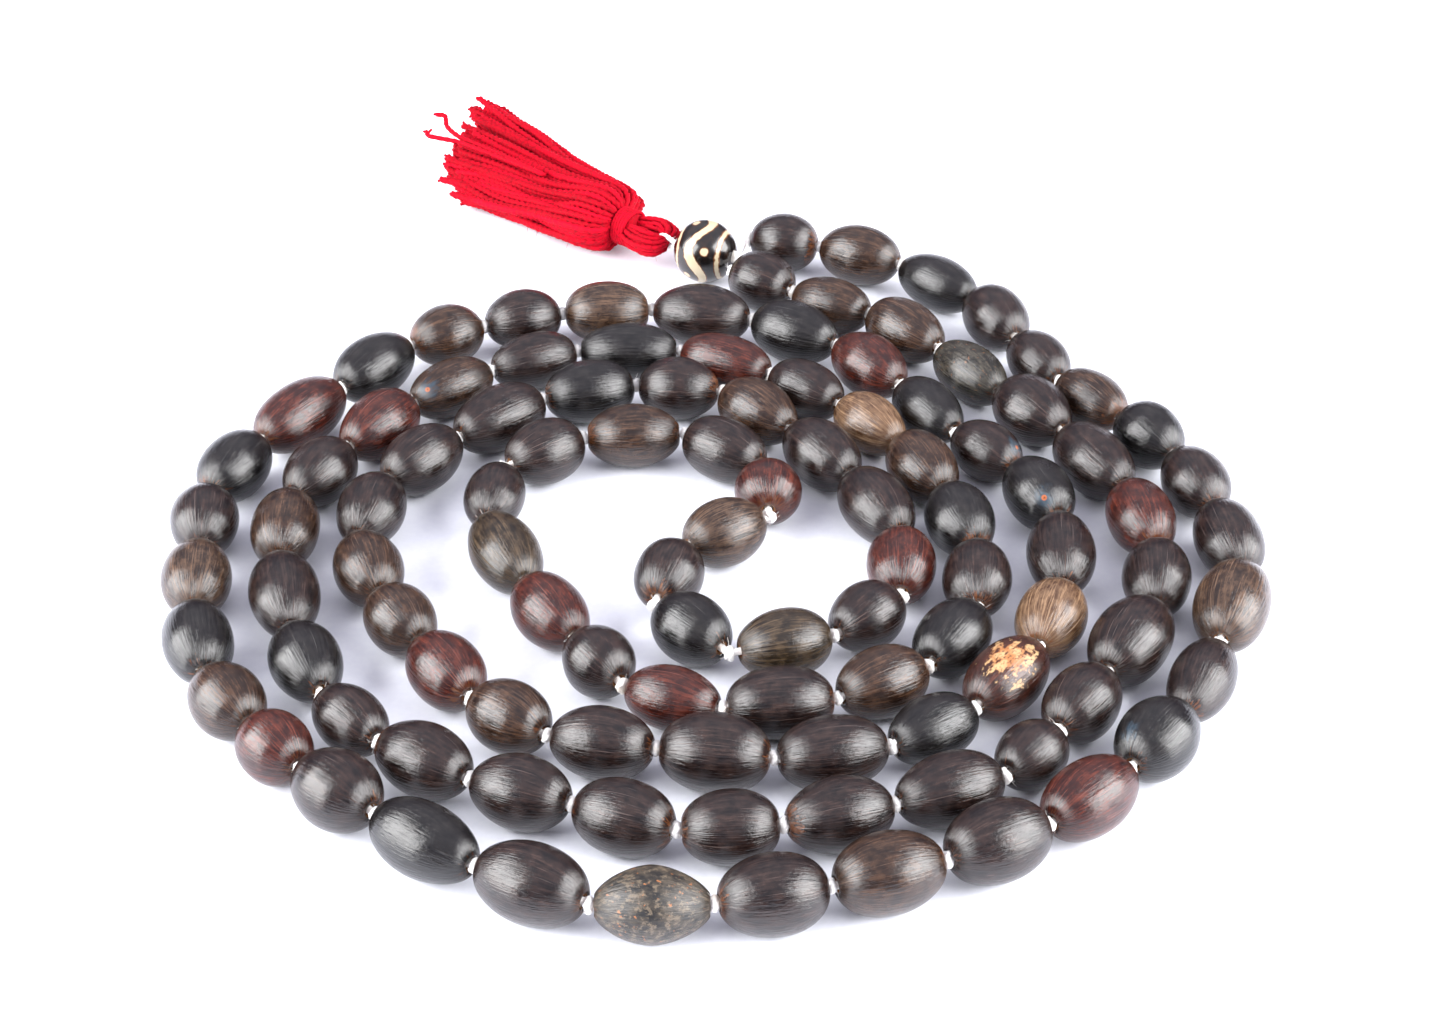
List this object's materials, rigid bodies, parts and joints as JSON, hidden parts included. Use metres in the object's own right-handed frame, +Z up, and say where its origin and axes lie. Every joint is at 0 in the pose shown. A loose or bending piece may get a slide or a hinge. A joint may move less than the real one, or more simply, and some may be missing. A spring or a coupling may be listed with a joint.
{
  "type": "mala prayer beads",
  "caption": "Mala of knotted lotus-seed beads, coiled flat, closed by a patterned guru bead that carries a tassel of red yarn.",
  "frame": {"origin": "middle of the coil's and tassel's bounding box, on the surface that the mala lies on", "axes": "+Z up from that surface; +Y away from the front, towards the tassel's side; +X to the right"},
  "size_m": [0.1652, 0.2261, 0.0114],
  "materials": {
    "lotus_seed": "satin polished seed coat, dark brown with lighter streaks",
    "cotton_cord": "off-white twisted cotton",
    "dyed_bone": "polished dyed bone, near-black with a cream pattern",
    "red_yarn": "scarlet soft-twist cotton yarn"
  },
  "bodies": {
    "strand": {"strand_cord": "cotton_cord", "inward_seeds": "lotus_seed", "outward_seeds": "lotus_seed"},
    "lift": {"lift_cord": "cotton_cord"},
    "head": {"head_cord": "cotton_cord"},
    "guru": {"guru_bead": "dyed_bone"},
    "tie": {"tie_loop": "cotton_cord"},
    "tassel": {"tassel_loop": "red_yarn", "tassel_binding": "red_yarn", "tassel_skirt": "red_yarn"},
    "seed_001": {"seed_bead_001": "lotus_seed"},
    "seed_002": {"seed_bead_002": "lotus_seed"},
    "seed_003": {"seed_bead_003": "lotus_seed"},
    "seed_004": {"seed_bead_004": "lotus_seed"},
    "seed_005": {"seed_bead_005": "lotus_seed"},
    "seed_006": {"seed_bead_006": "lotus_seed"},
    "seed_007": {"seed_bead_007": "lotus_seed"},
    "seed_008": {"seed_bead_008": "lotus_seed"},
    "seed_009": {"seed_bead_009": "lotus_seed"},
    "seed_010": {"seed_bead_010": "lotus_seed"},
    "seed_011": {"seed_bead_011": "lotus_seed"},
    "seed_012": {"seed_bead_012": "lotus_seed"},
    "seed_013": {"seed_bead_013": "lotus_seed"},
    "seed_014": {"seed_bead_014": "lotus_seed"},
    "seed_015": {"seed_bead_015": "lotus_seed"},
    "seed_016": {"seed_bead_016": "lotus_seed"},
    "seed_017": {"seed_bead_017": "lotus_seed"},
    "seed_018": {"seed_bead_018": "lotus_seed"},
    "seed_019": {"seed_bead_019": "lotus_seed"},
    "seed_020": {"seed_bead_020": "lotus_seed"},
    "seed_021": {"seed_bead_021": "lotus_seed"},
    "seed_022": {"seed_bead_022": "lotus_seed"},
    "seed_023": {"seed_bead_023": "lotus_seed"},
    "seed_024": {"seed_bead_024": "lotus_seed"},
    "seed_025": {"seed_bead_025": "lotus_seed"},
    "seed_082": {"seed_bead_082": "lotus_seed"},
    "seed_083": {"seed_bead_083": "lotus_seed"},
    "seed_084": {"seed_bead_084": "lotus_seed"},
    "seed_085": {"seed_bead_085": "lotus_seed"},
    "seed_086": {"seed_bead_086": "lotus_seed"},
    "seed_087": {"seed_bead_087": "lotus_seed"},
    "seed_088": {"seed_bead_088": "lotus_seed"},
    "seed_089": {"seed_bead_089": "lotus_seed"},
    "seed_090": {"seed_bead_090": "lotus_seed"},
    "seed_091": {"seed_bead_091": "lotus_seed"},
    "seed_092": {"seed_bead_092": "lotus_seed"},
    "seed_093": {"seed_bead_093": "lotus_seed"},
    "seed_094": {"seed_bead_094": "lotus_seed"},
    "seed_095": {"seed_bead_095": "lotus_seed"},
    "seed_096": {"seed_bead_096": "lotus_seed"},
    "seed_097": {"seed_bead_097": "lotus_seed"},
    "seed_098": {"seed_bead_098": "lotus_seed"},
    "seed_099": {"seed_bead_099": "lotus_seed"},
    "seed_100": {"seed_bead_100": "lotus_seed"},
    "seed_101": {"seed_bead_101": "lotus_seed"},
    "seed_102": {"seed_bead_102": "lotus_seed"},
    "seed_103": {"seed_bead_103": "lotus_seed"},
    "seed_104": {"seed_bead_104": "lotus_seed"},
    "seed_105": {"seed_bead_105": "lotus_seed"},
    "seed_106": {"seed_bead_106": "lotus_seed"}
  },
  "joints": [
    {"name": "head_lift", "type": "hinge", "parent": "strand", "child": "lift", "pos_m": [0.032, 0.05, 0.00505], "axis": [0.3511, 0.9363, 0], "range_deg": [0, 25]},
    {"name": "head_curl", "type": "hinge", "parent": "lift", "child": "head", "pos_m": [0.018, 0.056, 0.0053], "axis": [0.3162, 0.9486, 0.0158], "range_deg": [0, 25]},
    {"name": "guru_spin", "type": "hinge", "parent": "head", "child": "guru", "pos_m": [-0.002, 0.054, 0.00555], "axis": [-0.9272, 0.3746, 0], "continuous": true},
    {"name": "tie_swing", "type": "hinge", "parent": "head", "child": "tie", "pos_m": [-0.00715, 0.05608, 0.00555], "axis": [0, 0, 1], "range_deg": [-10, 25]},
    {"name": "tassel_lift", "type": "hinge", "parent": "tie", "child": "tassel", "pos_m": [-0.00994, 0.05811, 0.00555], "axis": [0.5878, 0.809, 0], "range_deg": [0, 70]},
    {"name": "seed_001_spin", "type": "hinge", "parent": "head", "child": "seed_001", "pos_m": [0.01183, 0.05742, 0.0053], "axis": [0.9744, -0.2249, 0], "continuous": true},
    {"name": "seed_002_spin", "type": "hinge", "parent": "lift", "child": "seed_002", "pos_m": [0.02497, 0.05301, 0.0053], "axis": [0.9191, -0.3939, 0], "continuous": true},
    {"name": "seed_003_spin", "type": "hinge", "parent": "strand", "child": "seed_003", "pos_m": [0.03799, 0.04451, 0.0048], "axis": [0.7372, -0.6757, 0], "continuous": true},
    {"name": "seed_004_spin", "type": "hinge", "parent": "strand", "child": "seed_004", "pos_m": [0.04702, 0.03245, 0.0053], "axis": [0.4191, -0.908, 0], "continuous": true},
    {"name": "seed_005_spin", "type": "hinge", "parent": "strand", "child": "seed_005", "pos_m": [0.05299, 0.02002, 0.0048], "axis": [0.4472, -0.8944, 0], "continuous": true},
    {"name": "seed_006_spin", "type": "hinge", "parent": "strand", "child": "seed_006", "pos_m": [0.06051, 0.00849, 0.0048], "axis": [0.6332, -0.774, 0], "continuous": true},
    {"name": "seed_007_spin", "type": "hinge", "parent": "strand", "child": "seed_007", "pos_m": [0.06849, -0.00248, 0.0053], "axis": [0.5369, -0.8437, 0], "continuous": true},
    {"name": "seed_008_spin", "type": "hinge", "parent": "strand", "child": "seed_008", "pos_m": [0.07401, -0.01502, 0.0053], "axis": [0.2747, -0.9615, 0], "continuous": true},
    {"name": "seed_009_spin", "type": "hinge", "parent": "strand", "child": "seed_009", "pos_m": [0.07699, -0.02993, 0.0053], "axis": [0.124, -0.9923, 0], "continuous": true},
    {"name": "seed_010_spin", "type": "hinge", "parent": "strand", "child": "seed_010", "pos_m": [0.07497, -0.04657, 0.0057], "axis": [-0.3328, -0.943, 0], "continuous": true},
    {"name": "seed_011_spin", "type": "hinge", "parent": "strand", "child": "seed_011", "pos_m": [0.0685, -0.06249, 0.0048], "axis": [-0.4229, -0.9062, 0], "continuous": true},
    {"name": "seed_012_spin", "type": "hinge", "parent": "strand", "child": "seed_012", "pos_m": [0.0605, -0.076, 0.0057], "axis": [-0.6, -0.8, 0], "continuous": true},
    {"name": "seed_013_spin", "type": "hinge", "parent": "strand", "child": "seed_013", "pos_m": [0.05001, -0.08749, 0.0053], "axis": [-0.7372, -0.6757, 0], "continuous": true},
    {"name": "seed_014_spin", "type": "hinge", "parent": "strand", "child": "seed_014", "pos_m": [0.03698, -0.09651, 0.0057], "axis": [-0.8944, -0.4472, 0], "continuous": true},
    {"name": "seed_015_spin", "type": "hinge", "parent": "strand", "child": "seed_015", "pos_m": [0.0225, -0.1025, 0.0057], "axis": [-0.9487, -0.3162, 0], "continuous": true},
    {"name": "seed_016_spin", "type": "hinge", "parent": "strand", "child": "seed_016", "pos_m": [0.00751, -0.1065, 0.0057], "axis": [-0.9806, -0.1961, 0], "continuous": true},
    {"name": "seed_017_spin", "type": "hinge", "parent": "strand", "child": "seed_017", "pos_m": [-0.00795, -0.108, 0.0053], "axis": [-1, 0, 0], "continuous": true},
    {"name": "seed_018_spin", "type": "hinge", "parent": "strand", "child": "seed_018", "pos_m": [-0.02355, -0.10448, 0.0057], "axis": [-0.9062, 0.4229, 0], "continuous": true},
    {"name": "seed_019_spin", "type": "hinge", "parent": "strand", "child": "seed_019", "pos_m": [-0.03801, -0.09599, 0.0053], "axis": [-0.8137, 0.5812, 0], "continuous": true},
    {"name": "seed_020_spin", "type": "hinge", "parent": "strand", "child": "seed_020", "pos_m": [-0.05049, -0.0865, 0.0057], "axis": [-0.774, 0.6332, 0], "continuous": true},
    {"name": "seed_021_spin", "type": "hinge", "parent": "strand", "child": "seed_021", "pos_m": [-0.06, -0.0775, 0.0053], "axis": [-0.6644, 0.7474, 0], "continuous": true},
    {"name": "seed_022_spin", "type": "hinge", "parent": "strand", "child": "seed_022", "pos_m": [-0.06797, -0.06754, 0.0053], "axis": [-0.5882, 0.8087, 0], "continuous": true},
    {"name": "seed_023_spin", "type": "hinge", "parent": "strand", "child": "seed_023", "pos_m": [-0.07401, -0.05447, 0.0053], "axis": [-0.2577, 0.9662, 0], "continuous": true},
    {"name": "seed_024_spin", "type": "hinge", "parent": "strand", "child": "seed_024", "pos_m": [-0.0765, -0.03949, 0.0053], "axis": [-0.0665, 0.9978, 0], "continuous": true},
    {"name": "seed_025_spin", "type": "hinge", "parent": "strand", "child": "seed_025", "pos_m": [-0.07749, -0.02508, 0.0053], "axis": [-0.0712, 0.9975, 0], "continuous": true},
    {"name": "seed_082_spin", "type": "hinge", "parent": "strand", "child": "seed_082", "pos_m": [-0.03003, 0.01999, 0.0048], "axis": [-0.9191, -0.3939, 0], "continuous": true},
    {"name": "seed_083_spin", "type": "hinge", "parent": "strand", "child": "seed_083", "pos_m": [-0.043, 0.012, 0.0048], "axis": [-0.7682, -0.6402, 0], "continuous": true},
    {"name": "seed_084_spin", "type": "hinge", "parent": "strand", "child": "seed_084", "pos_m": [-0.05351, 0.00048, 0.0053], "axis": [-0.5692, -0.8222, 0], "continuous": true},
    {"name": "seed_085_spin", "type": "hinge", "parent": "strand", "child": "seed_085", "pos_m": [-0.06146, -0.01243, 0.0053], "axis": [-0.4741, -0.8805, 0], "continuous": true},
    {"name": "seed_086_spin", "type": "hinge", "parent": "strand", "child": "seed_086", "pos_m": [-0.065, -0.02707, 0.0053], "axis": [0, -1, 0], "continuous": true},
    {"name": "seed_087_spin", "type": "hinge", "parent": "strand", "child": "seed_087", "pos_m": [-0.063, -0.04351, 0.0053], "axis": [0.229, -0.9734, 0], "continuous": true},
    {"name": "seed_088_spin", "type": "hinge", "parent": "strand", "child": "seed_088", "pos_m": [-0.05801, -0.05897, 0.0053], "axis": [0.3939, -0.9191, 0], "continuous": true},
    {"name": "seed_089_spin", "type": "hinge", "parent": "strand", "child": "seed_089", "pos_m": [-0.05049, -0.07101, 0.0048], "axis": [0.669, -0.7433, 0], "continuous": true},
    {"name": "seed_090_spin", "type": "hinge", "parent": "strand", "child": "seed_090", "pos_m": [-0.03949, -0.08001, 0.0053], "axis": [0.8517, -0.5241, 0], "continuous": true},
    {"name": "seed_091_spin", "type": "hinge", "parent": "strand", "child": "seed_091", "pos_m": [-0.02599, -0.0865, 0.0053], "axis": [0.9417, -0.3363, 0], "continuous": true},
    {"name": "seed_092_spin", "type": "hinge", "parent": "strand", "child": "seed_092", "pos_m": [-0.01206, -0.09148, 0.0053], "axis": [0.9417, -0.3363, 0], "continuous": true},
    {"name": "seed_093_spin", "type": "hinge", "parent": "strand", "child": "seed_093", "pos_m": [0.00205, -0.0935, 0.0053], "axis": [0.9975, 0.0712, 0], "continuous": true},
    {"name": "seed_094_spin", "type": "hinge", "parent": "strand", "child": "seed_094", "pos_m": [0.01651, -0.091, 0.0053], "axis": [0.9662, 0.2577, 0], "continuous": true},
    {"name": "seed_095_spin", "type": "hinge", "parent": "strand", "child": "seed_095", "pos_m": [0.03143, -0.08603, 0.0053], "axis": [0.9285, 0.3714, 0], "continuous": true},
    {"name": "seed_096_spin", "type": "hinge", "parent": "strand", "child": "seed_096", "pos_m": [0.04305, -0.07845, 0.0048], "axis": [0.6644, 0.7474, 0], "continuous": true},
    {"name": "seed_097_spin", "type": "hinge", "parent": "strand", "child": "seed_097", "pos_m": [0.051, -0.06799, 0.0053], "axis": [0.5547, 0.8321, 0], "continuous": true},
    {"name": "seed_098_spin", "type": "hinge", "parent": "strand", "child": "seed_098", "pos_m": [0.05947, -0.05455, 0.0057], "axis": [0.5145, 0.8575, 0], "continuous": true},
    {"name": "seed_099_spin", "type": "hinge", "parent": "strand", "child": "seed_099", "pos_m": [0.065, -0.03948, 0.0053], "axis": [0.1322, 0.9912, 0], "continuous": true},
    {"name": "seed_100_spin", "type": "hinge", "parent": "strand", "child": "seed_100", "pos_m": [0.0645, -0.02449, 0.0053], "axis": [-0.1961, 0.9806, 0], "continuous": true},
    {"name": "seed_101_spin", "type": "hinge", "parent": "strand", "child": "seed_101", "pos_m": [0.05899, -0.00948, 0.0053], "axis": [-0.4706, 0.8824, 0], "continuous": true},
    {"name": "seed_102_spin", "type": "hinge", "parent": "strand", "child": "seed_102", "pos_m": [0.05049, 0.00401, 0.0057], "axis": [-0.6, 0.8, 0], "continuous": true},
    {"name": "seed_103_spin", "type": "hinge", "parent": "strand", "child": "seed_103", "pos_m": [0.04151, 0.01649, 0.0048], "axis": [-0.5692, 0.8222, 0], "continuous": true},
    {"name": "seed_104_spin", "type": "hinge", "parent": "strand", "child": "seed_104", "pos_m": [0.03151, 0.02849, 0.0053], "axis": [-0.7071, 0.7071, 0], "continuous": true},
    {"name": "seed_105_spin", "type": "hinge", "parent": "lift", "child": "seed_105", "pos_m": [0.01947, 0.03751, 0.0048], "axis": [-0.8805, 0.4741, 0], "continuous": true},
    {"name": "seed_106_spin", "type": "hinge", "parent": "head", "child": "seed_106", "pos_m": [0.00779, 0.04431, 0.0053], "axis": [-0.8437, 0.5369, 0], "continuous": true}
  ]
}
